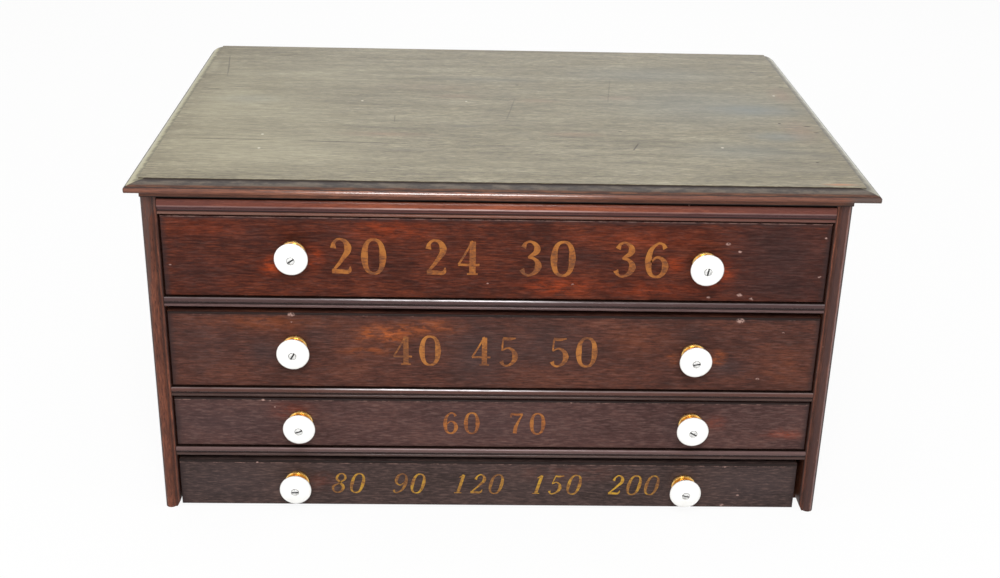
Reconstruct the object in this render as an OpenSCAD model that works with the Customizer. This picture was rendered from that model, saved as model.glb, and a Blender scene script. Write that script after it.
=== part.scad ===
// Counter-top spool cabinet with four drawers.
// Millimetres, +Z up, drawer fronts towards -Y, origin under the middle of the cabinet.

/* [Cabinet] */
// Width over the two side boards
cabinet_w = 555; // [500:5:640]
// Depth from the faces of the drawer fronts to the back
cabinet_d = 410; // [360:5:460]
// Thickness of the side boards
side_t = 12.5; // [12:0.5:18]
// Height of the lowest drawer front above the floor
foot_h = 2; // [1:0.5:4.5]
// Size of the cut corner inside each foot
foot_cut = 3; // [1:0.5:4]
// Depth to which rail, dividers, runners and bottom are let into the sides
housing_d = 5; // [3:0.5:7]
// Depth of the stopped front end of the housings behind the drawer faces
housing_stop = 6; // [4:0.5:12]

/* [Top board] */
// Thickness of the top board
top_t = 14.5; // [11:0.5:18]
// Overhang of the top at the left end
left_overhang = 10; // [6:0.5:20]
// Overhang of the top at the right end
right_overhang = 19; // [6:0.5:20]
// Overhang of the top in front of the drawer faces
front_overhang = 14; // [10:0.5:20]
// Radius of the back corners of the top, seen from above
back_corner_r = 14; // [4:1:20]
// Radius of the front corners of the top, seen from above
front_corner_r = 3; // [1:0.5:5]
// Width of the moulded border on the front
border_w = 14; // [12:0.5:18]
// Width of the moulded border on the ends
end_border_w = 10; // [8:0.5:16]
// Height of the small step where the flat top meets the border
border_step = 1; // [0.5:0.25:2]
// Height of the nose of the border above the underside
nose_h = 8; // [7:0.5:9]
// Radius under the nose
nose_r = 2; // [1:0.25:3]
// How far the band under the nose stands outside the side boards
band_proud = 0; // [0:0.2:2]
// How far the band under the nose stands in front of the moulded edges
front_band = 0.8; // [0.2:0.2:2]

/* [Front mouldings] */
// How far the moulded edges stand in front of the drawer faces
edge_proud = 3; // [2:0.25:4.5]
// Width of the small bead beside the drawer openings
small_bead = 2.6; // [2:0.1:3.5]
// How far the small bead stands behind the large one
small_back = 0.8; // [0:0.1:1.2]
// Width of the sunk line between the beads
quirk_w = 1.2; // [0.8:0.1:1.8]
// Depth of the sunk line
quirk_d = 1.8; // [1:0.1:1.9]

/* [Frame] */
// Height of the top rail
rail_h = 14; // [12:0.5:22]
// Gap between the top rail and the top board, which has warped off it
top_gap = 1; // [0.4:0.2:1.6]
// Thickness of the dividers and of the runners behind them
divider_t = 8.5; // [7:0.5:12]
// Depth of the rail and the dividers behind the drawer faces
divider_d = 45; // [35:1:60]
// Width of the runners and of the kickers inside the sides
runner_w = 22; // [18:1:30]
// Thickness of the bottom board
bottom_board_t = 6; // [5:0.5:8]
// Gap between the floor and the bottom board
floor_gap = 2; // [1:0.5:3]
// Thickness of the back boards
back_t = 8; // [6:0.5:10]
// Width of the rebates that hold the back boards
rebate_w = 7; // [6:0.5:9]
// Gap between the two back boards
back_gap = 0.5; // [0.2:0.1:1]
// Length of a drawer stop
stop_l = 25; // [15:1:40]
// Depth of a drawer stop, front to back
stop_d = 12; // [8:1:20]
// Thickness of a drawer stop
stop_t = 3.5; // [2:0.5:4.5]
// Distance of the drawer stops from the side boards
stop_in = 110; // [60:5:160]

/* [Drawers] */
// Height of the front of drawer 1, the top one
front_1_h = 67.8; // [56:0.1:80]
// Height of the front of drawer 2
front_2_h = 66.6; // [56:0.1:80]
// Height of the front of drawer 3
front_3_h = 44.6; // [42:0.1:60]
// Height of the front of drawer 4, the lowest one
front_4_h = 43.2; // [43:0.1:60]
// Gap above the front of drawer 1
gap_1 = 1.6; // [0.8:0.2:6]
// Gap above the front of drawer 2
gap_2 = 5.4; // [0.8:0.2:8]
// Gap above the front of drawer 3
gap_3 = 2.4; // [0.8:0.2:6]
// Gap above the front of drawer 4
gap_4 = 5.6; // [0.8:0.2:8]
// Gap below the fronts that close over a divider
front_gap = 0.6; // [0.3:0.1:1.5]
// Gap at each end of the upper three drawers
end_gap = 1; // [0.5:0.25:3]
// Mean gap at each end of the lowest drawer, which has shrunk most
low_end_gap = 3; // [3:0.5:7]
// How far the lowest drawer sits to the left in its opening
low_shift = 2; // [0:0.5:2.5]
// Running gap under the drawer sides and behind the closed fronts
run_gap = 0.3; // [0.1:0.05:0.5]
// Space between the closed drawers and the back boards
rear_space = 12; // [4:1:40]
// Thickness of the drawer fronts
front_t = 19; // [16:0.5:22]
// Radius of the eased edges of the drawer fronts
front_r = 1; // [0.5:0.25:2]
// Thickness of the drawer sides
wall_t = 9; // [8:0.5:12]
// Thickness of the drawer backs
rear_t = 9; // [7:0.5:12]
// Thickness of the drawer bottoms
floor_t = 5; // [4:0.5:6]
// Height of the drawer bottoms above the lower edges of the sides
floor_rise = 6; // [5:0.25:6.5]
// Depth of the grooves that hold the drawer bottoms
groove_d = 4; // [3:0.5:5]
// Play of a drawer bottom in the depth of its grooves
groove_play = 0.3; // [0.1:0.1:0.8]
// How far the drawer sides stop below the top of their front
wall_drop = 5; // [3:0.5:8]
// How far the drawer backs stop below the top of the sides
rear_drop = 3; // [0:0.5:3.5]

/* [Dovetails] */
// Wood left in front of the hidden tails
lap_t = 5; // [4:0.5:7]
// Height of drawer side that each tail takes
tail_pitch = 22; // [18:1:24]
// Narrow width of the half pins at both ends of a row
edge_pin = 3; // [2:0.25:3.5]
// Narrow width of the pins between two tails
pin_w = 6; // [4:0.5:7]
// Slope of the tails, as length for each unit of width
tail_slope = 7; // [6:0.5:10]

/* [Spool rows] */
// Number of rows in a drawer
rows = 7; // [5:1:9]
// Thickness of the slats between the rows
slat_t = 3; // [2:0.5:4]
// Height of the slats
slat_h = 17; // [10:1:18]
// Depth of the slots that hold the ends of the slats
slot_d = 1.5; // [1:0.25:3]

/* [Knobs] */
// Distance of the left knobs of drawers 1 to 4 from the middle of their fronts
left_knobs = [161.5, 163, 160.5, 163.5]; // [155:0.5:172]
// Distance of the right knobs of drawers 1 to 4 from the middle of their fronts
right_knobs = [165, 162.5, 165, 165.5]; // [155:0.5:172]
// Height of the left knobs of drawers 1 to 4 above the middle of their fronts
left_rises = [4, 3, 1, 1.5]; // [-1:0.5:5]
// Height of the right knobs of drawers 1 to 4 above the middle of their fronts
right_rises = [-1, -0.5, 2, 0.5]; // [-1:0.5:5]
// Diameter of the porcelain head
knob_d = 26.5; // [24:0.5:30]
// Height of the dome's top above the drawer face
knob_out = 18.5; // [18:0.5:24]
// Height of the domed part of the head
dome_h = 2.4; // [1.5:0.1:3]
// Radius of the rim of the head
rim_r = 2.2; // [1.5:0.1:2.5]
// Diameter of the porcelain neck
neck_d = 15; // [13:0.5:17]
// Diameter of the flange of the brass base
base_d = 21; // [19:0.5:23]
// Height of the brass base
base_h = 6; // [5:0.5:7]
// Thickness of the flange and of the lip of the brass base
base_lip = 1.7; // [1:0.1:2]
// Diameter of the knob bolt
bolt_d = 4; // [3:0.5:5]
// How far the knob bolt reaches past its nut
bolt_past = 1.2; // [0.5:0.1:2]
// Play round the knob bolt
bolt_play = 0.3; // [0.1:0.1:0.6]
// Diameter of the bolt's head
head_d = 6; // [5.5:0.5:8]
// Thickness of the bolt's head
head_t = 1.8; // [1.2:0.1:2.4]
// Width of the screwdriver slot
slot_w = 1; // [0.6:0.1:1.4]
// Width of the square nut
nut_w = 9; // [8:0.5:11]
// Thickness of the square nut
nut_t = 3; // [2:0.5:4]

/* [Screws and nails] */
// Diameter of the screws that hold the top
screw_d = 4; // [3:0.5:5]
// Diameter of their heads
screw_head_d = 8; // [7:0.5:9]
// How far the screws reach into the top board
screw_bite = 8; // [5:0.5:9]
// Number of screws on each side
screws = 3; // [2:1:5]
// Diameter of the nails in the back boards
nail_d = 1.8; // [1.4:0.1:2.4]
// Diameter of the nail heads
nail_head_d = 4; // [3.5:0.25:5]
// Length of the nails
nail_l = 22; // [16:1:30]
// Play round screws and nails
fastener_play = 0.1; // [0.05:0.05:0.3]

/* [Hidden] */
$fn = 48;
cut = 1;
curve_step = 7.5;
drawers = 4;
drawer_parts = ["front", "left", "right", "back", "bottom", "slats", "knobs", "knob_bases", "knob_bolts"];
carcass_parts = ["top_board", "side_left", "side_right", "top_rail", "divider_1", "divider_2", "divider_3",
    "bottom_board", "back_upper", "back_lower", "runner_left_1", "runner_right_1", "runner_left_2",
    "runner_right_2", "runner_left_3", "runner_right_3", "kicker_left", "kicker_right", "drawer_stops",
    "top_screws", "back_nails"];

// The middle of the cabinet and the plane of the drawer faces, seen from the origin
cabinet_x = (left_overhang - right_overhang) / 2;
face_y = (max(knob_out, front_overhang) - cabinet_d) / 2;

inner_w = cabinet_w - 2 * side_t;
back_y = cabinet_d - back_t;
drawer_l = back_y - rear_space;
board_top = floor_gap + bottom_board_t;

// The recess inside a drawer front that takes a knob's nut, deep enough for a slat to pass over the bolt
nut_sink = nut_t + bolt_past + slot_d + bolt_play;
recess_d = nut_w * sqrt(2) + 2 * bolt_play;
fronts = [front_1_h, front_2_h, front_3_h, front_4_h];
gaps = [gap_1, gap_2, gap_3, gap_4];

// Levels, counted up from the floor: each divider lies above the drawer of the next number
function front_z(n) = n == drawers ? foot_h : divider_z(n) + divider_t + front_gap;
function divider_z(n) = front_z(n + 1) + fronts[n] + gaps[n];
function front_top(n) = front_z(n) + fronts[n - 1];
function run_z(n) = n == drawers ? board_top : divider_z(n) + divider_t;
function wall_z(n) = run_z(n) + run_gap;
function wall_h(n) = front_top(n) - wall_drop - wall_z(n);
function floor_top(n) = wall_z(n) + floor_rise + floor_t;
function rear_h(n) = wall_z(n) + wall_h(n) - rear_drop - floor_top(n);
rail_z = front_top(1) + gap_1;
kicker_h = rail_h + top_gap;
carcass_h = rail_z + kicker_h;

// Drawer widths and places
function box_w(n) = inner_w - 2 * (n == drawers ? low_end_gap : end_gap);
function box_x(n) = n == drawers ? -low_shift : 0;
function row_pitch(n) = (box_w(n) - 2 * wall_t) / rows;
function slat_x(n, i) = (i - rows / 2) * row_pitch(n);
function knob_x(n, side) = side > 0 ? right_knobs[n - 1] : -left_knobs[n - 1];
function knob_z(n, side) = front_z(n) + fronts[n - 1] / 2 + (side > 0 ? right_rises : left_rises)[n - 1];

// Screw and nail places
screw_x = inner_w / 2 - runner_w / 2;
function screw_y(i) = divider_d + (i + 0.5) * (back_y - divider_d) / screws;
nail_x = inner_w / 2 + rebate_w / 2;
function nail_z(n) = front_z(n) + fronts[n - 1] / 2;

wood_dark = "#4a2a1e";
wood_red = "#6b3320";
wood_grey = "#6f675a";
wood_pale = "#a9835a";
porcelain = "#f4f4f0";
brass = "#c08a35";
steel = "#8a8a88";

// Puts a piece drawn from the middle of the drawer faces at its place in the part's frame
module placed() translate([cabinet_x, face_y, 0]) children();

// Extrudes along X a section whose first axis is height and whose second is depth
module along_x(length) translate([-length / 2, 0, 0]) rotate([90, 0, 90])
    linear_extrude(length) mirror([1, -1]) children();

// A rounded bead across the edge of a board, from x = 0 to w, standing proud towards -Y
module bead(w, proud) {
    rise = min(proud, w / 2);
    r = (w * w / 4 + rise * rise) / (2 * rise);
    translate([0, rise - proud]) square([w, proud - rise + cut]);
    intersection() {
        translate([w / 2, r - proud]) circle(r);
        translate([0, -proud]) square([w, rise]);
    }
}

// Section of a board with a moulded front edge: small bead, sunk line, large bead
module moulded_section(t, depth) {
    large = t - small_bead - quirk_w;
    floor_y = quirk_d - edge_proud;
    square([t, depth]);
    bead(small_bead, edge_proud - small_back);
    translate([small_bead / 2, floor_y]) square([t / 2, cut - floor_y]);
    translate([small_bead + quirk_w, 0]) bead(large, edge_proud);
}

// Section of a board with both front corners eased
module eased_section(w, depth, r) {
    translate([0, r]) square([w, depth - r]);
    translate([r, 0]) square([w - 2 * r, depth]);
    for (x = [r, w - r]) translate([x, r]) circle(r);
}

// Outline of a border of the top board, w wide, from its underside up to the flat top. Reach is the overhang
// of its nose over the face below it, and proud is how far the band under the nose stands off that face.
function border(w, reach, proud) = concat(
    [[reach - proud, 0], [reach - proud, nose_h - nose_r]],
    [for (a = [90 : -curve_step : curve_step]) [nose_r * (1 - cos(a)), nose_h - nose_r * sin(a)]],
    [for (a = [0 : curve_step : 90])
        [w * (1 - cos(a)), nose_h + (top_t - border_step - nose_h) * sin(a)]],
    [[w, top_t]]);

// What is cut away to round one corner at the origin, seen from above
module corner_cut(r) difference() {
    translate([-cut, -cut]) square(r + cut);
    translate([r, r]) circle(r);
}

// The top board from its front left corner, as long as w and as deep as depth
module moulded_top(w, depth) intersection() {
    front = border(border_w, front_overhang - edge_proud, front_band);
    left = border(end_border_w, left_overhang, band_proud);
    right = border(end_border_w, right_overhang, band_proud);
    turned = [for (i = [len(right) - 1 : -1 : 0]) [w - right[i].x, right[i].y]];
    translate([0, depth, 0]) rotate([90, 0, 0]) linear_extrude(depth) polygon(concat(left, turned));
    translate([w / 2, 0, 0]) along_x(w) mirror([1, -1])
        polygon(concat(front, [[depth, top_t], [depth, 0]]));
    linear_extrude(top_t) difference() {
        square([w, depth]);
        corner_cut(front_corner_r);
        translate([w, 0]) mirror([1, 0]) corner_cut(front_corner_r);
        translate([0, depth]) mirror([0, 1]) corner_cut(back_corner_r);
        translate([w, depth]) rotate(180) corner_cut(back_corner_r);
    }
}

module top_board() color(wood_grey) placed() difference() {
    translate([-cabinet_w / 2 - left_overhang, -front_overhang, carcass_h])
        moulded_top(cabinet_w + left_overhang + right_overhang, cabinet_d + front_overhang);
    for (s = [-1, 1]) for (i = [0 : screws - 1]) translate([s * screw_x, screw_y(i), carcass_h - cut])
        cylinder(d = screw_d + 2 * fastener_play, h = screw_bite + cut);
}

// The right-hand side board, with the housings for all that is let into it
module side_board() difference() {
    translate([inner_w / 2, 0, 0]) linear_extrude(carcass_h) moulded_section(side_t, cabinet_d);
    for (n = [1 : drawers - 1]) translate([inner_w / 2 - cut, housing_stop, divider_z(n)])
        cube([housing_d + cut, cabinet_d, divider_t]);
    translate([inner_w / 2 - cut, housing_stop, rail_z])
        cube([housing_d + cut, divider_d - housing_stop, kicker_h + cut]);
    translate([inner_w / 2 - cut, front_t + run_gap, floor_gap])
        cube([housing_d + cut, cabinet_d, bottom_board_t]);
    translate([inner_w / 2 - cut, back_y, -cut])
        cube([rebate_w + cut, back_t + cut, carcass_h + 2 * cut]);
    translate([inner_w / 2, front_t, 0]) rotate([90, 0, 0]) linear_extrude(front_t + edge_proud + cut)
        polygon([[-cut, -cut], [foot_cut, -cut], [foot_cut, 0], [0, 2 * foot_cut], [-cut, 2 * foot_cut]]);
    for (n = [1 : drawers]) translate([nail_x, back_y + cut, nail_z(n)]) rotate([90, 0, 0])
        cylinder(d = nail_d + 2 * fastener_play, h = nail_l - back_t + 2 * cut);
}

module side_left() color(wood_red) placed() mirror([1, 0, 0]) side_board();

module side_right() color(wood_red) placed() side_board();

// A moulded strip between the sides, with a tongue at each end for the housings
module moulded_strip(t) {
    along_x(inner_w) moulded_section(t, divider_d);
    translate([-inner_w / 2 - housing_d, housing_stop, 0])
        cube([inner_w + 2 * housing_d, divider_d - housing_stop, t]);
}

module top_rail() color(wood_dark) placed() translate([0, 0, rail_z]) moulded_strip(rail_h);

module divider(n) color(wood_dark) placed() translate([0, 0, divider_z(n)]) moulded_strip(divider_t);

// The strip of wood that a drawer side slides on, right-hand or left-hand
module runner(n, side) color(wood_pale) placed()
    translate([side > 0 ? inner_w / 2 - runner_w : -inner_w / 2 - housing_d, divider_d, divider_z(n)])
        cube([runner_w + housing_d, back_y - divider_d, divider_t]);

// The strip under the top that keeps the top drawer from tipping and holds the top's screws
module kicker(side) color(wood_pale) placed() difference() {
    translate([side > 0 ? inner_w / 2 - runner_w : -inner_w / 2, divider_d, rail_z])
        cube([runner_w, back_y - divider_d, kicker_h]);
    for (i = [0 : screws - 1]) translate([side * screw_x, screw_y(i), rail_z]) {
        cylinder(d = screw_d + 2 * fastener_play, h = kicker_h + cut);
        translate([0, 0, -cut]) cylinder(d = screw_head_d + 2 * fastener_play, h = screw_d / 2 + cut);
    }
}

module bottom_board() color(wood_pale) placed()
    translate([-inner_w / 2 - housing_d, front_t + run_gap, floor_gap])
        cube([inner_w + 2 * housing_d, back_y - front_t - run_gap, bottom_board_t]);

// One back board, from a lower to an upper level, with its nail holes
module back_board(z0, z1) difference() {
    translate([-inner_w / 2 - rebate_w, back_y, z0]) cube([inner_w + 2 * rebate_w, back_t, z1 - z0]);
    for (s = [-1, 1]) for (n = [1 : drawers]) translate([s * nail_x, cabinet_d + cut, nail_z(n)])
        rotate([90, 0, 0]) {
            cylinder(d = nail_d + 2 * fastener_play, h = back_t + 2 * cut);
            cylinder(d = nail_head_d + 2 * fastener_play, h = nail_d / 2 + cut);
        }
}

back_joint_z = divider_z(2) + divider_t / 2;

module back_upper() color(wood_pale) placed() back_board(back_joint_z + back_gap, carcass_h);

module back_lower() color(wood_pale) placed() back_board(floor_gap, back_joint_z);

module drawer_stops() color(wood_pale) placed() for (s = [-1, 1]) for (n = [1 : drawers - 1])
    translate([s * (inner_w / 2 - stop_in) - stop_l / 2, front_t + run_gap, run_z(n)])
        cube([stop_l, stop_d, stop_t]);

module top_screws() color(steel) placed() for (s = [-1, 1]) for (i = [0 : screws - 1])
    translate([s * screw_x, screw_y(i), rail_z]) {
        cylinder(d = screw_d, h = kicker_h + screw_bite - fastener_play);
        cylinder(d = screw_head_d, h = screw_d / 2);
    }

module back_nails() color(steel) placed() for (s = [-1, 1]) for (n = [1 : drawers])
    translate([s * nail_x, cabinet_d, nail_z(n)]) rotate([90, 0, 0]) {
        cylinder(d = nail_d, h = nail_l - fastener_play);
        cylinder(d = nail_head_d, h = nail_d / 2);
    }

// Puts a piece of drawer n at the middle of its front's face
module in_drawer(n) placed() translate([box_x(n), 0, 0]) children();

// Outlines of a row of dovetails in height and depth, wide at depth y0 and narrow at depth y1
module tails(z0, h, y0, y1) {
    count = max(1, round(h / tail_pitch));
    w = (h - 2 * edge_pin - (count - 1) * pin_w) / count;
    slope = abs(y1 - y0) / tail_slope;
    for (i = [0 : count - 1]) {
        z = z0 + edge_pin + i * (w + pin_w);
        polygon([[z, y0], [z + w, y0], [z + w - slope, y1], [z + slope, y1]]);
    }
}

module front_tails(n) tails(wall_z(n), wall_h(n), lap_t, front_t);

module rear_tails(n) tails(floor_top(n), rear_h(n), drawer_l, drawer_l - rear_t);

// The slots that the ends of the slats stand in, from depth y over length l
module slat_slots(n, y, l) for (i = [1 : rows - 1])
    translate([slat_x(n, i) - slat_t / 2, y, floor_top(n) - cut]) cube([slat_t, l, slat_h + cut]);

module drawer_front(n) color(n < 3 ? wood_red : wood_dark) in_drawer(n) difference() {
    w = box_w(n);
    h = fronts[n - 1];
    intersection() {
        translate([0, 0, front_z(n)]) along_x(w) eased_section(h, front_t, front_r);
        translate([-w / 2, 0, 0]) linear_extrude(front_top(n) + cut) eased_section(w, front_t, front_r);
    }
    for (s = [-1, 1]) translate([s * (w - wall_t + cut) / 2, 0, 0]) along_x(wall_t + cut) front_tails(n);
    translate([-w / 2 + wall_t, front_t - groove_d, wall_z(n) + floor_rise])
        cube([w - 2 * wall_t, groove_d + cut, floor_t]);
    slat_slots(n, front_t - slot_d, slot_d + cut);
    for (s = [-1, 1]) translate([knob_x(n, s), -cut, knob_z(n, s)]) rotate([-90, 0, 0]) {
        cylinder(d = bolt_d + 2 * bolt_play, h = front_t + 2 * cut);
        translate([0, 0, front_t + cut - nut_sink]) cylinder(d = recess_d, h = nut_sink + cut);
    }
}

// The right-hand side of drawer n, with hidden tails at the front and through tails at the back
module drawer_wall(n) {
    x = box_w(n) / 2;
    z = wall_z(n);
    h = wall_h(n);
    translate([x - wall_t / 2, 0, 0]) along_x(wall_t) difference() {
        translate([z, lap_t]) square([h, drawer_l - lap_t]);
        difference() {
            translate([z - cut, lap_t - cut]) square([h + 2 * cut, front_t - lap_t + cut]);
            front_tails(n);
        }
        difference() {
            translate([floor_top(n), drawer_l - rear_t]) square([rear_h(n), rear_t + cut]);
            rear_tails(n);
        }
    }
}

module drawer_side(n, side) color(wood_pale) in_drawer(n) mirror([side > 0 ? 0 : 1, 0, 0]) difference() {
    drawer_wall(n);
    translate([box_w(n) / 2 - wall_t - cut, lap_t - cut, wall_z(n) + floor_rise])
        cube([groove_d + cut, drawer_l, floor_t]);
}

module drawer_back(n) color(wood_pale) in_drawer(n) difference() {
    w = box_w(n);
    translate([-w / 2, drawer_l - rear_t, floor_top(n)]) cube([w, rear_t, rear_h(n)]);
    for (s = [-1, 1]) translate([s * (w - wall_t + cut) / 2, 0, 0]) along_x(wall_t + cut) rear_tails(n);
    slat_slots(n, drawer_l - rear_t - cut, slot_d + cut);
}

module drawer_bottom(n) color(wood_pale) in_drawer(n) {
    reach = groove_d - groove_play;
    w = box_w(n) - 2 * wall_t + 2 * reach;
    translate([-w / 2, front_t - reach, wall_z(n) + floor_rise])
        cube([w, drawer_l - front_t + reach, floor_t]);
}

// Thin slats with rounded tops, standing on the bottom between the rows
module drawer_slats(n) color(wood_pale) in_drawer(n) for (i = [1 : rows - 1])
    translate([slat_x(n, i), drawer_l - rear_t + slot_d, floor_top(n)]) rotate([90, 0, 0])
        linear_extrude(drawer_l - rear_t - front_t + 2 * slot_d) {
            translate([-slat_t / 2, 0]) square([slat_t, slat_h - slat_t / 2]);
            translate([0, slat_h - slat_t / 2]) circle(d = slat_t);
        }

// Turns a section of radius and height about both knob axes of drawer n
module at_knobs(n) in_drawer(n) for (s = [-1, 1]) translate([knob_x(n, s), 0, knob_z(n, s)])
    rotate([90, 0, 0]) children();

module knobs(n) color(porcelain) at_knobs(n) difference() {
    rim_x = knob_d / 2 - rim_r;
    rim_y = knob_out - dome_h - rim_r;
    dome_r = (rim_x * rim_x + dome_h * dome_h) / (2 * dome_h);
    rotate_extrude() difference() {
        union() {
            polygon([[0, base_h], [neck_d / 2, base_h], [rim_x, rim_y - rim_r], [0, rim_y - rim_r]]);
            translate([0, rim_y - rim_r]) square([rim_x, 2 * rim_r]);
            translate([rim_x, rim_y]) circle(rim_r);
            intersection() {
                translate([0, knob_out - dome_r]) circle(dome_r);
                translate([0, rim_y]) square([rim_x, rim_r + dome_h]);
            }
        }
        translate([-knob_d, 0]) square([knob_d, knob_out]);
    }
    cylinder(d = bolt_d + 2 * bolt_play, h = knob_out + cut);
    translate([0, 0, knob_out - head_t]) cylinder(d = head_d + 2 * bolt_play, h = head_t + cut);
}

module knob_bases(n) color(brass) at_knobs(n) difference() {
    waist = neck_d / 2;
    lip = (neck_d + base_d) / 4;
    rotate_extrude() polygon([[0, 0], [base_d / 2, 0], [base_d / 2, base_lip], [waist, 2 * base_lip],
        [lip, base_h - base_lip / 2], [lip, base_h], [0, base_h]]);
    translate([0, 0, -cut]) cylinder(d = bolt_d + 2 * bolt_play, h = base_h + 2 * cut);
}

// Slotted bolts through knob, base and front, each with a square nut sunk into the inside of the front
module knob_bolts(n) color(steel) at_knobs(n) {
    seat = nut_sink - front_t;
    tail = seat - nut_t - bolt_past;
    difference() {
        union() {
            translate([0, 0, knob_out - head_t]) cylinder(d = head_d, h = head_t);
            translate([0, 0, tail]) cylinder(d = bolt_d, h = knob_out - head_t - tail);
        }
        translate([-head_d, -slot_w / 2, knob_out - head_t / 2]) cube([2 * head_d, slot_w, head_t]);
    }
    difference() {
        translate([-nut_w / 2, -nut_w / 2, seat - nut_t]) cube([nut_w, nut_w, nut_t]);
        translate([0, 0, seat - nut_t - cut]) cylinder(d = bolt_d + fastener_play, h = nut_t + 2 * cut);
    }
}

top_board();
side_left();
side_right();
top_rail();
bottom_board();
back_upper();
back_lower();
kicker(-1);  // kicker_left
kicker(1);  // kicker_right
drawer_stops();
top_screws();
back_nails();
for (n = [1 : drawers - 1]) {
    divider(n);
    runner(n, -1);
    runner(n, 1);
}
for (n = [1 : drawers]) {
    drawer_front(n);
    drawer_side(n, -1);
    drawer_side(n, 1);
    drawer_back(n);
    drawer_bottom(n);
    drawer_slats(n);
    knobs(n);
    knob_bases(n);
    knob_bolts(n);
}
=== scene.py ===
import math
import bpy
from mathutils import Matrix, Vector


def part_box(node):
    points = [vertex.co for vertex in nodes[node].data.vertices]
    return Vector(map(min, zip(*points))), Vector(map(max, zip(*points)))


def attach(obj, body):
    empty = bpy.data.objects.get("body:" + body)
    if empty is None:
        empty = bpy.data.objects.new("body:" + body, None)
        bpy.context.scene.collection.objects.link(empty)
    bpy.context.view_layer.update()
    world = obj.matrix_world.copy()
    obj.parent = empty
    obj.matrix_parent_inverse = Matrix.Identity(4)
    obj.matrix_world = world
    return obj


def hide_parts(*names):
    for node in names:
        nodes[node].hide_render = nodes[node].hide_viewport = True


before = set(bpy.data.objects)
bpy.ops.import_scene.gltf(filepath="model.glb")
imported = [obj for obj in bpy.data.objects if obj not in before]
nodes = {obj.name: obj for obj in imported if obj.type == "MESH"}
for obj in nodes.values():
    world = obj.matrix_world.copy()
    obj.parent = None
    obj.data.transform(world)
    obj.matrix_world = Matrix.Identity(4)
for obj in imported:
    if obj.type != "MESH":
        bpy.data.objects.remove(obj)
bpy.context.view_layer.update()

from fnmatch import fnmatch

import bpy
from mathutils import Matrix, Vector

mm = 0.001
drawerNames = ["drawer_1", "drawer_2", "drawer_3", "drawer_4"]
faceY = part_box("drawer_1_front")[0].y  # plane of the closed drawer faces
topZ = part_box("top_board")[1].z
print("cabinet frame loaded, faces at", round(faceY, 5))


# camera, light and floor

cameraPlace = {
    "location": (-0.03553, -1.21012, 0.6566),
    "turn": 1.893,  # degrees, seen from above
    "down": 23.952,
    "tilt": 1.449,
    "lens": 49.97,
    "sensor": 36,
    "nearest": 0.02,
}


def placeCamera(place):
    data = bpy.data.cameras.new("photoCamera")
    data.lens = place["lens"]
    data.sensor_width = place["sensor"]
    data.clip_start = place["nearest"]
    camera = bpy.data.objects.new("photoCamera", data)
    bpy.context.scene.collection.objects.link(camera)
    turn, down, tilt = (math.radians(place[k]) for k in ("turn", "down", "tilt"))
    camera.matrix_world = (
        Matrix.Translation(place["location"])
        @ Matrix.Rotation(-turn, 4, "Z")
        @ Matrix.Rotation(math.pi / 2 - down, 4, "X")
        @ Matrix.Rotation(tilt, 4, "Z")
    )
    bpy.context.scene.camera = camera


placeCamera(cameraPlace)

softBoxes = {  # place, what it looks at, width and height in metres, watts
    "window": ((-0.02, -1.35, 1.25), (-0.02, -0.2, 0.2), 0.5, 0.5, 18),
    "overBack": ((0.0, 0.5, 1.9), (0, 0.05, 0.2), 1.6, 1.2, 3.5),
    "fromFront": ((0.0, -2.3, 0.75), (0, 0, 0.15), 1.6, 0.9, 2),
    "leftFill": ((-1.7, -0.9, 0.9), (0, 0, 0.15), 0.9, 1.1, 6.5),
    "rightFill": ((1.7, -0.8, 0.9), (0, 0, 0.15), 0.9, 1.1, 4),
    "behind": ((0.2, 1.8, 1.0), (0, 0, 0.15), 1.4, 0.9, 5),
}


def hangSoftBoxes(boxes):
    for name, (place, target, width, height, watts) in boxes.items():
        data = bpy.data.lights.new(name, "AREA")
        data.shape = "RECTANGLE"
        data.size = width
        data.size_y = height
        data.energy = watts
        lamp = bpy.data.objects.new(name, data)
        bpy.context.scene.collection.objects.link(lamp)
        lamp.location = place
        lamp.rotation_euler = (Vector(target) - Vector(place)).to_track_quat("-Z", "Y").to_euler()


hangSoftBoxes(softBoxes)


def isSocket(value):
    return isinstance(value, bpy.types.NodeSocket)


def setInputs(node, inputs):  # a value stays on the node's own socket, an output is linked to it
    for key, value in inputs.items():
        if isSocket(value):
            node.id_data.links.new(value, node.inputs[key])
        else:
            node.inputs[key].default_value = value


def addNode(kind, inputs, tree=None, **options):  # in the node tree of what is linked to it
    tree = tree or next(value.id_data for value in inputs.values() if isSocket(value))
    node = tree.nodes.new("ShaderNode" + kind)
    for key, value in options.items():
        setattr(node, key, value)
    setInputs(node, inputs)
    return node


def calc(operation, first, second=0.0, clamp=False):
    return addNode("Math", {0: first, 1: second}, operation=operation, use_clamp=clamp).outputs[0]


def times(product, *factors):
    for factor in factors:
        product = calc("MULTIPLY", product, factor)
    return product


def plus(first, second):
    return calc("ADD", first, second)


def minus(first, second):
    return calc("SUBTRACT", first, second)


studio = {
    "light": 0.55,  # what the white surroundings add
    "floorSize": 14,
    "floorZ": -0.0002,
    "paper": (0.86, 0.86, 0.85, 1),
    "paperRoughness": 0.9,
    "whiteness": 0.93,
    "white": (1, 1, 1, 1),
}


def seenDirectly(tree):  # 1 for what the camera, a mirror or clear glass shows
    rays = addNode("LightPath", {}, tree).outputs
    straight = calc("MAXIMUM", rays["Is Camera Ray"], rays["Is Glossy Ray"])
    return calc("MAXIMUM", straight, rays["Is Transmission Ray"])


def paintBackdrop(settings):
    world = bpy.data.worlds.new("studio")
    bpy.context.scene.world = world
    world.use_nodes = True
    tree = world.node_tree
    levels = {"Value": seenDirectly(tree), "To Min": settings["light"], "To Max": 1.0}
    strength = addNode("MapRange", levels).outputs[0]
    setInputs(tree.nodes["Background"], {"Color": settings["white"], "Strength": strength})


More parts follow.
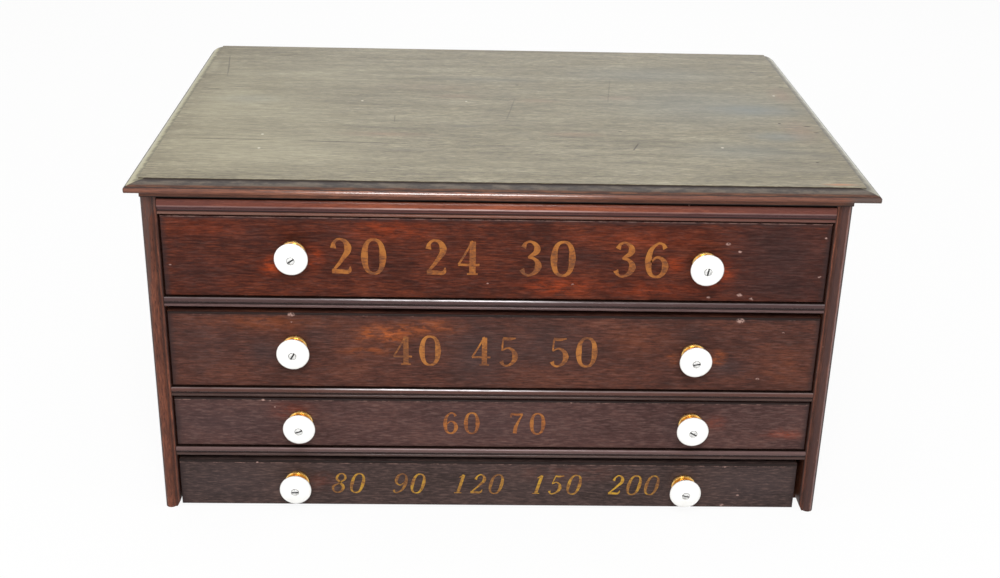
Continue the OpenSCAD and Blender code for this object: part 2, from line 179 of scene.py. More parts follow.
def layFloor(settings):
    bpy.ops.mesh.primitive_plane_add(size=settings["floorSize"], location=(0, 0, settings["floorZ"]))
    floor = bpy.context.object
    floor.name = "studioFloor"
    paper = bpy.data.materials.new("studioPaper")
    paper.use_nodes = True
    tree = paper.node_tree
    diffuse = tree.nodes["Principled BSDF"]
    setInputs(diffuse, {"Base Color": settings["paper"], "Roughness": settings["paperRoughness"]})
    glow = addNode("Emission", {"Color": settings["white"], "Strength": 1.0}, tree)
    share = times(seenDirectly(tree), settings["whiteness"])
    blend = addNode("MixShader", {0: share, 1: diffuse.outputs[0], 2: glow.outputs[0]})
    setInputs(tree.nodes["Material Output"], {"Surface": blend.outputs[0]})
    floor.data.materials.append(paper)


paintBackdrop(studio)
layFloor(studio)
bpy.context.scene.view_settings.view_transform = "Standard"
print("camera, lights and floor placed")


# node helpers for the finishes


def rgb(red, green, blue):  # a colour read off the screen, 0 to 255
    def linear(c):
        c = c / 255
        return c / 12.92 if c <= 0.04045 else ((c + 0.055) / 1.055) ** 2.4

    return (linear(red), linear(green), linear(blue), 1)


def remap(value, low, high, toLow=0.0, toHigh=1.0):
    inputs = {"Value": value, "From Min": low, "From Max": high, "To Min": toLow, "To Max": toHigh}
    return addNode("MapRange", inputs, interpolation_type="SMOOTHSTEP").outputs[0]


def deeper(depth, reach, toLow=0.0, toHigh=1.0):  # from toLow to toHigh between two depths in mm
    return remap(depth, reach[0] * mm, reach[1] * mm, toLow, toHigh)


def between(value, low, high, soft):  # 1 from low to high, fading over soft either side of both
    rising = remap(value, low - soft, low + soft)
    return times(rising, remap(value, high - soft, high + soft, 1, 0))


def awayFrom(value, centre):
    return calc("ABSOLUTE", minus(value, centre))


def cloud(coords, scale, detail, roughness, seed, distortion=0.0):
    shift = (seed, seed * 1.7, seed * 0.6)
    spread = addNode("Mapping", {"Vector": coords, "Scale": scale, "Location": shift}).outputs[0]
    inputs = {"Vector": spread, "Scale": 1, "Detail": detail, "Roughness": roughness, "Distortion": distortion}
    return addNode("TexNoise", inputs).outputs[0]


def tint(share, under, over, blend="MIX"):
    node = addNode("Mix", {0: share, 6: under, 7: over}, data_type="RGBA", blend_type=blend)
    return node.outputs[2]


def mottle(value, low, high, colours):  # from the first colour to the second as the value goes from low to high
    return tint(remap(value, low, high), *colours)


def splitPlace(coords):
    return tuple(addNode("SeparateXYZ", {0: coords}).outputs)


def markMask(coords, centre, size, soft, turn=0.0, square=False):  # 1 inside an oval or a bar, 0 outside
    place = {"Vector": coords, "Location": centre, "Rotation": (0, 0, math.radians(turn)), "Scale": size}
    local = addNode("Mapping", place, vector_type="TEXTURE").outputs[0]
    if square:
        away = addNode("VectorMath", {0: local}, operation="ABSOLUTE").outputs[0]
        reach = calc("MAXIMUM", *splitPlace(away)[:2])
    else:
        reach = addNode("VectorMath", {0: local}, operation="LENGTH").outputs["Value"]
    return remap(reach, 1 - soft, 1, 1, 0)


def frontMark(coords, x, z, wide, tall, soft):  # on the plane of the drawer faces, in mm
    return markMask(coords, (x * mm, faceY, z * mm), (wide * mm, 1, tall * mm), soft)


def topMark(coords, x, y, wide, deep, soft, turn=0.0, square=False):  # on the top, in mm
    return markMask(coords, (x * mm, y * mm, topZ), (wide * mm, deep * mm, 1), soft, turn, square)


def strongest(masks):  # the greatest of several masks at each point
    most = masks[0]
    for mask in masks[1:]:
        most = calc("MAXIMUM", most, mask)
    return most


def startMaterial(name):
    material = bpy.data.materials.new(name)
    material.use_nodes = True
    tree = material.node_tree
    coords = addNode("TexCoord", {}, tree).outputs["Object"]
    return material, coords, tree.nodes["Principled BSDF"]


def alongGrain(grain, along, across):  # noise scale with the long way of the figure along that axis
    return tuple(along if axis == grain else across for axis in "xyz")


def feedBump(shader, height, depth):  # depth in mm
    bump = addNode("Bump", {"Height": height, "Distance": depth * mm})
    setInputs(shader, {"Normal": bump.outputs[0]})


plainFigure = {  # the figure of a board whose own settings say nothing else
    "wave": 0.4, "spread": 0.14, "broadShare": 0.45,
    "broadScale": (12, 42), "streakScale": (36, 430), "fibreScale": (130, 1000), "poreScale": (200, 1700),
}


def woodFigure(coords, look):  # streaks, fibres and open pores of a board
    look = {**plainFigure, **look}
    seed, wave = look["seed"], look["wave"]
    scales = {key: alongGrain(look["grain"], *look[key + "Scale"]) for key in ("broad", "streak", "fibre", "pore")}
    broad = cloud(coords, scales["broad"], 5, 0.66, seed, 1.5 * wave)
    streaks = cloud(coords, scales["streak"], 6, 0.72, seed + 3, wave)
    fibres = cloud(coords, scales["fibre"], 4, 0.7, seed + 7)
    pores = remap(cloud(coords, scales["pore"], 2, 0.5, seed + 11), 0.58, 0.7)
    figure = plus(times(streaks, 1 - look["broadShare"]), times(broad, look["broadShare"]))
    ramp = addNode("ValToRGB", {0: figure})
    stops = ramp.color_ramp.elements
    stops[0].position, stops[0].color = 0.5 - look["spread"], look["dark"]
    stops[1].position, stops[1].color = 0.5 + look["spread"], look["light"]
    stops.new(0.5).color = look["middle"]
    colour = tint(remap(fibres, 0.3, 0.7, look["fibre"], 0), ramp.outputs[0], look["dark"])
    colour = tint(times(pores, look["pore"]), colour, look["poreColour"])
    return {"colour": colour, "broad": broad, "streaks": streaks, "fibres": fibres, "pores": pores}


def fineLines(coords, colour, look, scale, detail, roughness):  # thin lines, lighter and darker than the figure
    fine = cloud(coords, alongGrain(look["grain"], *scale), detail, roughness, look["seed"] + 27)
    level = remap(fine, 0.36, 0.64, 1 - look["lines"], 1 + look["lines"])
    return tint(1.0, colour, level, "MULTIPLY")


# varnished drawer fronts

frontBase = {  # what a front has unless its own settings say another
    "grain": "x", "spread": 0.11, "wave": 0.15, "streakScale": (110, 600), "broadScale": (20, 44),
    "fibre": 0.3, "pore": 0.4, "lines": 0.05, "haze": 0.16,
}
# glows and shades in mm: x, z, half width, half height, share; chips: x, z, size
frontLooks = {
    "drawer_1": {
        "seed": 1.0, "rub": (0.38, 0.58), "fibre": 0.45, "pore": 0.6, "broadShare": 0.5,
        "shadow": 0.0, "lines": 0.26,
        "dark": rgb(53, 25, 18), "middle": rgb(76, 34, 22), "light": rgb(102, 48, 29),
        "poreColour": rgb(40, 19, 16), "glow": rgb(160, 62, 22), "shade": rgb(52, 34, 32), "haze": 0.05,
        "glows": [(-184, 223, 10, 9, 0.8), (-149, 231, 8, 11, 0.6), (170, 222, 16, 13, 0.8), (137, 229, 9, 8, 0.55),
                  (46, 208.5, 34, 9, 0.5), (-92, 255.5, 40, 10, 0.35), (110, 250, 60, 9, 0.2),
                  (120, 207, 50, 8, 0.3), (-234, 256, 34, 9, 0.16)],
        "shades": [(-240, 222, 30, 24, 0.35), (-127, 252.5, 14, 10, 0.5), (224, 238, 56, 42, 0.85),
                   (60, 234.5, 30, 12, 0.3), (225, 207, 50, 16, 0.6), (-200, 248, 24, 12, 0.35)],
        "chips": [(166, 200.5, 1.6), (191, 203, 2.6), (201, 199.5, 2.2), (255.5, 253, 1.4), (254, 219.5, 1.6),
                  (178, 247, 2.2), (188, 240.5, 1.8), (-263, 223.5, 1.2), (-12, 210.5, 1.0), (56, 210.5, 1.3)],
    },
    "drawer_2": {
        "seed": 5.0, "rub": (0.56, 0.68), "fibre": 0.45, "pore": 0.55, "broadShare": 0.5,
        "shadow": 1.8, "lines": 0.16,
        "dark": rgb(55, 34, 29), "middle": rgb(77, 45, 37), "light": rgb(98, 58, 45), "poreColour": rgb(40, 23, 20),
        "glow": rgb(164, 84, 38), "shade": rgb(56, 45, 45), "haze": 0.08,
        "glows": [(-96, 164, 26, 10, 0.85), (-60, 171, 30, 8, 0.5), (-108, 149, 26, 5, 0.4), (178, 146, 8, 7, 0.7),
                  (141, 145, 7, 6, 0.45), (-190, 174.5, 60, 10, 0.25), (114, 160, 26, 16, 0.12),
                  (236, 138, 26, 24, 0.1)],
        "shades": [(-20, 146.5, 26, 30, 0.65), (35, 156.5, 40, 22, 0.5), (-193, 147, 15, 13, 0.6),
                   (-152, 167, 15, 12, 0.5), (186, 137, 18, 10, 0.65), (156, 163, 13, 11, 0.5),
                   (-240, 150, 26, 30, 0.3)],
        "chips": [(-169.5, 181, 3.2), (194, 180, 3.8), (-169, 174.5, 1.2), (213, 127, 1.8), (230, 169.5, 1.2)],
    },
    "drawer_3": {
        "seed": 9.0, "rub": (0.5, 0.62), "shadow": 1.4,
        "dark": rgb(58, 39, 37), "middle": rgb(75, 52, 49), "light": rgb(92, 64, 58), "poreColour": rgb(43, 30, 29),
        "glow": rgb(140, 62, 38), "shade": rgb(62, 50, 52),
        "glows": [(240, 74.5, 20, 6, 0.5), (244, 76, 4, 3, 0.6), (182, 84.5, 10, 8, 0.35),
                  (-172, 92.5, 20, 10, 0.35)],
        "shades": [(-230, 82.5, 60, 20, 0.35), (0, 84.5, 60, 20, 0.25), (150, 82.5, 16, 16, 0.35)],
        "chips": [(-195.5, 103, 1.6), (-190, 102.5, 1.2), (-186, 96.5, 0.9), (262, 96.5, 1.3), (60, 103, 1.2)],
    },
    "drawer_4": {
        "seed": 13.0, "rub": (0.47, 0.6), "shadow": 2.0,
        "dark": rgb(48, 38, 36), "middle": rgb(63, 50, 48), "light": rgb(78, 61, 57), "poreColour": rgb(39, 30, 29),
        "glow": rgb(125, 62, 42), "shade": rgb(58, 50, 52),
        "glows": [(-150, 25.3, 14, 10, 0.3), (60, 35.3, 60, 10, 0.15)],
        "shades": [(220, 25.3, 50, 20, 0.4), (-230, 23.3, 40, 20, 0.35)],
        "chips": [(193, 42.3, 1.8), (207, 14.3, 1.4), (207, 19.3, 1.0), (-203, 43.3, 1.2), (194, 4.3, 2.2)],
    },
}
frontWear = {  # colours and depths, in mm, of what all four have
    "glowSize": 1.4, "shadeSize": 1.5,
    "dust": rgb(150, 120, 112),
    "grime": rgb(46, 36, 36), "grimeReach": (2.5, 7.5), "grimeWander": 6,
    "shadow": rgb(32, 24, 22), "shadowFade": 0.8,
    # rubbed: pale worn edges, on the top arris also a painted highlight
    "rubbed": rgb(150, 118, 108), "rubbedWidth": 0.7, "footRub": (0.56, 0.68),
    "chip": rgb(190, 155, 144), "chipSize": (1.15, 0.7),
    "bare": (rgb(110, 74, 52), rgb(146, 102, 72)), "bareFrom": (17.5, 18.7), "socketFrom": (3, 6),
    "bump": 0.12,
}


def frontMarks(coords, colour, look, wear):  # darker patches, partly painted shade, and worn glows, the glows patchy
    patchy = cloud(coords, (70, 190, 190), 6, 0.72, look["seed"] + 5, 0.3)
    patchy = remap(patchy, 0.4, 0.6, 0.15, 1)
    for kind, broken in (("shade", ()), ("glow", (patchy,))):
        size = wear[kind + "Size"]
        for x, z, wide, tall, share in look[kind + "s"]:
            mask = frontMark(coords, x, z, wide * size, tall * size, 1)
            colour = tint(times(mask, share, *broken), colour, look[kind])
    return colour


# darker towards the top edge and the ends, a painted shadow under the divider, and the rubbed edges, the top one
# partly a painted highlight
def frontEdges(coords, colour, atFace, fromTop, fromEnd, fromLow, look, wear):
    ragged = cloud(coords, (160, 160, 160), 5, 0.65, look["seed"])
    wander = times(ragged, wear["grimeWander"] * mm)
    ends = times(plus(fromEnd, wander), 0.8)
    # darker towards the top edge and the ends
    grime = deeper(calc("MINIMUM", plus(fromTop, wander), ends), wear["grimeReach"], 0.7, 0)
    colour = tint(times(grime, atFace), colour, wear["grime"])
    # painted shadow across the top of the face, under the divider above
    shadow, fade = look["shadow"] * mm, wear["shadowFade"] * mm
    under = remap(plus(fromTop, times(ragged, fade)), shadow, shadow + fade, 0.85, 0)
    colour = tint(times(under, atFace), colour, wear["shadow"])
    # a pale line along the top arris, rubbed wear and a painted highlight, and a rubbed foot
    broken = cloud(coords, (150, 500, 500), 5, 0.75, look["seed"] + 15)
    strip = between(fromTop, shadow, shadow + wear["rubbedWidth"] * mm, 0.3 * mm)
    strip = times(strip, remap(broken, *look["rub"]))
    foot = times(deeper(fromLow, (0, 1.2), 1, 0), remap(broken, *wear["footRub"]))
    rub = times(strongest([strip, foot]), 0.5, atFace)
    return tint(rub, colour, wear["rubbed"])


def frontVarnish(name, node, look, wear):
    material, coords, shader = startMaterial(name)
    low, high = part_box(node)
    atX, atY, atZ = splitPlace(coords)
    fromEnd = calc("MINIMUM", minus(atX, low.x), minus(high.x, atX))
    fromTop, fromLow = minus(high.z, atZ), minus(atZ, low.z)
    behind = minus(atY, faceY)
    atFace = deeper(behind, (0.4, 1.4), 1, 0)
    wood = woodFigure(coords, look)
    colour = frontMarks(coords, wood["colour"], look, wear)
    dust = cloud(coords, alongGrain("x", 120, 700), 3, 0.6, look["seed"] + 20)
    colour = tint(remap(dust, 0.45, 0.7, 0, look["haze"]), colour, wear["dust"])
    colour = fineLines(coords, colour, look, (70, 900), 3, 0.6)
    colour = frontEdges(coords, colour, atFace, fromTop, fromEnd, fromLow, look, wear)
    frayed = remap(cloud(coords, (520, 520, 520), 4, 0.7, look["seed"] + 9), 0.42, 0.52)
    wide, tall = wear["chipSize"]
    chipped = strongest([
        times(frontMark(coords, x, z, size * wide, size * tall, 0.6), frayed)
        for x, z, size in look["chips"]
    ])
    colour = tint(times(chipped, 0.65, atFace), colour, wear["chip"])
    inside = deeper(behind, wear["bareFrom"])  # neither the inside nor the tail sockets were ever varnished
    socket = times(deeper(fromEnd, (0.2, 0.6), 1, 0), deeper(behind, wear["socketFrom"]))
    bare = mottle(wood["streaks"], 0.35, 0.65, wear["bare"])
    colour = tint(strongest([inside, socket]), colour, bare)
    rough = remap(wood["streaks"], 0.3, 0.7, 0.36, 0.52)
    rough = calc("ADD", rough, times(chipped, 0.3), clamp=True)
    setInputs(shader, {"Base Color": colour, "Roughness": rough, "Specular IOR Level": 0.09})
    height = minus(times(wood["fibres"], 0.5), times(wood["pores"], 0.6))
    feedBump(shader, minus(height, times(chipped, 1.6)), wear["bump"])
    return material


def dress(part, material):
    part.data.materials.clear()
    part.data.materials.append(material)


for drawer in drawerNames:
    front = drawer + "_front"
    dress(nodes[front], frontVarnish(drawer + "_varnish", front, {**frontBase, **frontLooks[drawer]}, frontWear))
print("drawer fronts varnished")


# rails, dividers and side boards

railLook = {
    "grain": "x", "seed": 21.0, "fibre": 0.35, "pore": 0.45,
    "dark": rgb(90, 46, 33), "middle": rgb(124, 64, 44), "light": rgb(158, 86, 58), "poreColour": rgb(48, 26, 22),
    "roughness": (0.16, 0.34), "shine": 0.15,
    # dull: painted shade outside the lit middle, and on the cord towards the right
    "dull": {"share": 0.7, "shade": rgb(86, 53, 50), "lit": (-0.17, 0.12, 0.1), "cordTo": (0.02, 0.14, 0.5)},
}
dividerLook = {
    "grain": "x", "seed": 25.0, "fibre": 0.35, "pore": 0.45,
    "dark": rgb(42, 29, 29), "middle": rgb(57, 40, 39), "light": rgb(76, 53, 49), "poreColour": rgb(28, 20, 20),
    "roughness": (0.16, 0.34), "shine": 0.2,
}
plainStrip = {"lowShare": 0.6, "lowTo": 1.1, "faint": 0.08, "gap": 0.3}  # what the dividers share
# low: colour under the bead, painted shade on the top rail; ridge: height as a share, half width in mm, share,
# colour; worn: where along x the painted highlight is full
strips = {
    "top_rail": {
        "low": rgb(66, 48, 50), "lowShare": 0.75, "lowTo": 0.5, "cord": rgb(104, 76, 66),
        "ridge": (0.52, 1.0, 0.85, rgb(190, 164, 160)), "worn": (-0.1, 0.05, 0.08), "faint": 0.2, "gap": 1.3,
    },
    "divider_1": {
        "low": rgb(76, 55, 54), "cord": rgb(92, 70, 68),
        "ridge": (0.94, 0.6, 1.0, rgb(255, 249, 252)), "worn": (-0.11, 0.025, 0.07),
    },
    "divider_2": {
        "low": rgb(93, 59, 50), "cord": rgb(70, 50, 44),
        "ridge": (0.94, 0.6, 1.0, rgb(255, 249, 252)), "worn": (-0.12, 0.02, 0.07),
    },
    "divider_3": {
        "low": rgb(108, 83, 80), "cord": rgb(72, 53, 48),
        "ridge": (0.9, 0.7, 0.16, rgb(210, 182, 182)), "worn": (-0.2, 0.13, 0.07),
    },
}
# gap: colour of the painted shadow along the top of a strip
stripWear = {"groove": rgb(28, 19, 18), "grooveAt": 3.2, "gap": rgb(28, 18, 15), "cordTop": 2.5, "lowFrom": 2.8}
sideLook = {
    "grain": "z", "seed": 31.0, "fibre": 0.6, "pore": 0.85, "streakScale": (60, 620),
    "dark": rgb(62, 35, 27), "middle": rgb(102, 58, 43), "light": rgb(140, 82, 59), "poreColour": rgb(36, 22, 19),
    "roughness": (0.34, 0.5), "shine": 0.2,
}
sideWear = {  # how much of each mark the two front edges have
    "side_left": {"core": 0.0, "line": 0.0, "rim": 0.6, "quirk": 0.55, "grey": 0.75},
    "side_right": {"core": 0.8, "line": 0.35, "rim": 0.95, "quirk": 0.5, "grey": 0.0},
}
sideMarks = {  # colour of each mark, and from where to where it lies, in mm from the outer face
    "grey": rgb(74, 61, 58),
    "core": (rgb(62, 44, 42), 3.4, 8.4, 0.5),
    # line: a painted highlight along the arris
    "line": (rgb(142, 132, 134), 1.7, 2.9, 0.4),
    "rim": (rgb(38, 30, 30), (1.1, 1.6)),
    # innerBead: painted shade of the gap beside the drawers
    "innerBead": (rgb(40, 28, 26), (11.3, 12.1)),
    "quirk": (rgb(34, 24, 22), 9.3),
}
frameWear = {"faces": rgb(58, 36, 24), "specks": rgb(160, 120, 108), "bump": 0.12}


def sideEdges(colour, atX, atZ, ragged, streaks, board, marks):  # front edge of a side board
    low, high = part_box(board)
    wear = sideWear[board]
    out = minus(high.x, atX) if board == "side_right" else minus(atX, low.x)
    out = plus(out, times(minus(ragged, 0.5), 1.6 * mm))
    if wear["grey"]:  # greyer outside and near the top
        reach = remap(atZ, 0.14, 0.28, 1.2 * mm, 6.2 * mm)
        reach = plus(reach, remap(atZ, 0.262, 0.274, 0, 6 * mm))
        grey = deeper(minus(out, reach), (-0.9, 0.9), wear["grey"], 0)
        grey = times(grey, remap(streaks, 0.35, 0.6, 1, 0.5))
        colour = tint(grey, colour, marks["grey"])
    # the dark core, and the painted highlight line along the arris
    for mark in ("core", "line"):
        shade, start, end, soft = marks[mark]
        if wear[mark]:
            mask = between(out, start * mm, end * mm, soft * mm)
            colour = tint(times(mask, wear[mark]), colour, shade)
    shade, reach = marks["rim"]
    colour = tint(deeper(out, reach, wear["rim"], 0), colour, shade)
    # painted shade on the inner bead, widening the dark gap beside the drawers
    shade, reach = marks["innerBead"]
    colour = tint(deeper(out, reach, 0, 0.75), colour, shade)
    shade, centre = marks["quirk"]  # beside the small bead
    return tint(deeper(awayFrom(out, centre * mm), (0.5, 1.2), wear["quirk"], 0), colour, shade)


# from the thin cord at the foot of a strip up to the painted highlight on its bead
def stripWorn(colour, atX, atZ, streaks, strip, look, marks):
    low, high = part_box(strip)
    wear = {**plainStrip, **strips[strip]}
    tall, cord = high.z - low.z, wear["cord"]
    dull = look.get("dull")
    if dull:  # painted shade, except where the light falls
        share = minus(1.0, between(atX, *dull["lit"]))
        share = times(between(atZ, low.z, high.z, 0.2 * mm), share, dull["share"])
        colour = tint(share, colour, dull["shade"])
        start, end, share = dull["cordTo"]
        cord = tint(remap(atX, start, end, 0, share), cord, dull["shade"])
    # the bead's lower part; on the top rail this colour is painted shade
    here = between(atZ, low.z + marks["lowFrom"] * mm, low.z + wear["lowTo"] * tall, 0.6 * mm)
    colour = tint(times(here, wear["lowShare"]), colour, wear["low"])
    here = between(atZ, low.z - 0.1 * mm, low.z + marks["cordTop"] * mm, 0.3 * mm)
    colour = tint(times(here, remap(streaks, 0.3, 0.6, 0.35, 0.9)), colour, cord)
    # painted highlight along the bead, full over the worn span along x
    height, half, share, shade = wear["ridge"]
    ridge = deeper(awayFrom(atZ, low.z + height * tall), (0.3 * half, half), 1, 0)
    ridge = times(ridge, remap(streaks, 0.34, 0.52, 0.4, 1))
    worn = remap(between(atX, *wear["worn"]), 0, 1, wear["faint"] * share, share)
    colour = tint(times(ridge, worn), colour, shade)
    # painted shadow in the gap along the top of the strip
    gap = between(atZ, high.z - wear["gap"] * mm, high.z + 0.3 * mm, 0.2 * mm)
    colour = tint(gap, colour, marks["gap"])
    groove = awayFrom(atZ, low.z + marks["grooveAt"] * mm)
    return tint(deeper(groove, (0.3, 0.9), 0.9, 0), colour, marks["groove"])


def frameVarnish(name, look, edged=(), board=None):
    material, coords, shader = startMaterial(name)
    wood = woodFigure(coords, look)
    colour, streaks = wood["colour"], wood["streaks"]
    plain = tint(remap(wood["broad"], 0.4, 0.6, 0, 0.45), colour, frameWear["faces"])
    ragged = cloud(coords, (120, 120, 120), 5, 0.7, look["seed"])
    atX, atY, atZ = splitPlace(coords)
    behind = minus(atY, faceY)
    inward = deeper(behind, (-2, 0.2))  # quirks and the faces behind them are darker
    colour = tint(times(inward, 0.6), colour, look["dark"])
    for strip in edged:
        colour = stripWorn(colour, atX, atZ, streaks, strip, look, stripWear)
    if board:
        colour = sideEdges(colour, atX, atZ, ragged, streaks, board, sideMarks)
        colour = tint(deeper(behind, (0.2, 3)), colour, plain)
    colour = tint(remap(ragged, 0.66, 0.74, 0, 0.5), colour, frameWear["specks"])
    rough = remap(streaks, 0.3, 0.7, *look["roughness"])
    setInputs(shader, {"Base Color": colour, "Roughness": rough, "Specular IOR Level": look["shine"]})
    wave = cloud(coords, alongGrain(look["grain"], 60, 200), 3, 0.6, look["seed"] + 2)
    height = minus(plus(times(wood["fibres"], 0.06), wave), times(wood["pores"], 0.15))
    feedBump(shader, height, frameWear["bump"])
    return material


dividerNames = ["divider_1", "divider_2", "divider_3"]
dress(nodes["top_rail"], frameVarnish("rail_varnish", railLook, ["top_rail"]))
dividerFinish = frameVarnish("divider_varnish", dividerLook, dividerNames)
for node in dividerNames:
    dress(nodes[node], dividerFinish)
for node in sideWear:
    dress(nodes[node], frameVarnish(node + "_varnish", sideLook, board=node))
print("rails and sides varnished")


# top board

# marks in mm: x, y, half width, half depth, share; scratches: x, y, half length, half width, turn, share
topLook = {
    "grain": "x", "seed": 41.0, "spread": 0.155, "wave": 0.12, "lines": 0.2, "fibre": 0.55, "pore": 0.5,
    "streakScale": (56, 700), "broadScale": (12, 80), "broadShare": 0.4,
    # grey colours of the dry varnish, with a painted sheen in them
    "dark": rgb(90, 82, 64), "middle": rgb(135, 127, 105), "light": rgb(176, 168, 143),
    "poreColour": rgb(74, 66, 54),
    "pink": [(63, -71, 26, 7, 0.4), (35, 30, 22, 7, 0.3), (-100, -78, 40, 7, 0.4), (-39, 40, 26, 8, 0.3),
             (112, 43, 20, 8, 0.35), (268, 60, 12, 26, 0.4), (262, -50, 16, 34, 0.35), (-60, 70, 60, 14, 0.15)],
    "cool": [(233, 10, 44, 20, 0.7), (239, -69, 30, 16, 0.6), (150, 125, 90, 34, 0.35), (-228, 22, 30, 16, 0.3),
             (205, -110, 60, 26, 0.35), (-10, 100, 60, 12, 0.2), (190, 20, 100, 60, 0.4)],
    "dim": [(-31, -52, 20, 5, 0.5), (-87, -118, 26, 5, 0.4), (267, -120, 14, 10, 0.5), (170, 60, 50, 20, 0.2),
            (250, -150, 60, 20, 0.25)],
    # pale: lighter patches, most on the left, partly a painted sheen
    "pale": [(-180, 110, 90, 60, 0.3), (-250, 40, 30, 120, 0.3), (-20, -150, 160, 20, 0.12),
             (-150, -30, 90, 24, 0.2), (-278, 136, 6, 30, 0.5), (-210, -120, 110, 70, 0.55),
             (-225, 0, 80, 70, 0.45)],
    "scratches": [(-231, -97, 48, 1.1, 179, 0.7), (-125, -101, 58, 1.1, 178, 0.75), (-1, -105, 21, 0.9, 176, 0.5),
                  (-267, 54, 11, 1.2, 169, 0.6), (-264, 136, 46, 0.8, 97, 0.45), (-93, -33, 12, 0.8, 91, 0.4),
                  (112, -103, 12, 0.9, 71, 0.8), (10, 1, 41, 0.8, 82, 0.35), (105, 66, 48, 0.8, 83, 0.3)],
    "holes": [(269, 13, 3.4, 1.1), (271, -38, 4.2, 1.2), (275.5, -56, 3.6, 1.5), (257, -137, 1.8, 1.5),
              (256, 143.5, 4.0, 1.6), (272, 127, 4.0, 1.2), (274.5, 90, 3.0, 1.2), (248, -30, 1.8, 1.8),
              (18.5, 82, 2.4, 1.4), (103, -61, 2.6, 1.2)],
    "dots": [(185, -101.5, 1.6), (261, 59, 1.6), (-125, 21, 1.5), (-202, -83, 1.6), (-200, -120, 1.6),
             (-30, 24, 1.3)],
    "worn": (263, -190, 20, 3.5),
    "polish": (-0.15, 0.05, 0.06),
}
topPaints = {  # kinds of mark in topLook and their colours, in the order in which they are laid
    "pale": rgb(176, 169, 143), "cool": rgb(116, 122, 120), "dim": rgb(92, 88, 82), "pink": rgb(150, 118, 100),
}
topWear = {
    "markSize": 1.4, "wobble": 1.2, "bump": 0.2,
    "cut": rgb(58, 48, 42), "speck": rgb(205, 198, 180), "bareSpot": rgb(176, 120, 88),
}
borderWear = {  # colours of the moulded edge; depths in mm under the face, greyFrom from the right end
    "slopeFrom": (0.4, 1.1),
    # front: grey of the slope, partly a painted reflection
    "front": (rgb(64, 58, 55), rgb(98, 88, 78)),
    "frontFoot": (rgb(66, 42, 33), rgb(104, 70, 53)), "footFrom": (2.2, 2.9),
    # ends: painted reflection on the end slopes; endLine: a painted highlight line on them
    "ends": (rgb(172, 166, 138), rgb(146, 142, 128)), "endLine": rgb(200, 200, 190), "endLineFrom": (1.5, 2.1),
    # outline: painted shade of the nose along the ends
    "outline": rgb(54, 52, 48), "outlineFrom": (2.6, 3.2),
    "nose": (rgb(90, 55, 42), rgb(142, 90, 68)), "noseFrom": (4.0, 4.5), "noseTo": (8.4, 9.0),
    # rubbed: the span of the nose where the light falls; dull: painted shade outside it
    "rubbed": (-0.2, 0.05, 0.08), "dull": rgb(80, 50, 42), "grey": rgb(74, 66, 62), "greyFrom": (-32, -18),
    # under: painted shadow along the underside
    "groove": rgb(46, 36, 34), "grooveAt": 3.9, "quirk": rgb(50, 42, 40), "under": rgb(30, 22, 19),
}


def topMarks(coords, colour, streaks, look, wear):  # stains, then scratches, holes and specks
    patchy = remap(streaks, 0.3, 0.6, 0.3, 1)
    size, wobble = wear["markSize"], wear["wobble"]
    for kind, paint in topPaints.items():
        for x, y, wide, deep, share in look[kind]:
            mask = topMark(coords, x, y, wide * size, deep * size, 1)
            colour = tint(times(mask, share, patchy), colour, paint)
    noise = addNode("TexNoise", {"Vector": coords, "Scale": 24, "Detail": 3}).outputs["Color"]
    noise = addNode("VectorMath", {0: noise, "Scale": wobble * mm}, operation="SCALE").outputs[0]
    drift = addNode("VectorMath", {0: coords, 1: noise}).outputs[0]
    shift = wobble / 2
    cuts = [
        times(topMark(drift, x + shift, y + shift, half, width, 0.5, turn, True), share)
        for x, y, half, width, turn, share in look["scratches"]
    ]
    cuts += [topMark(coords, x, y, wide, deep, 0.6) for x, y, wide, deep in look["holes"]]
    cuts = strongest(cuts)
    colour = tint(cuts, colour, wear["cut"])
    for x, y, size in look["dots"]:
        colour = tint(topMark(coords, x, y, size, size, 0.5), colour, wear["speck"])
    return colour, cuts


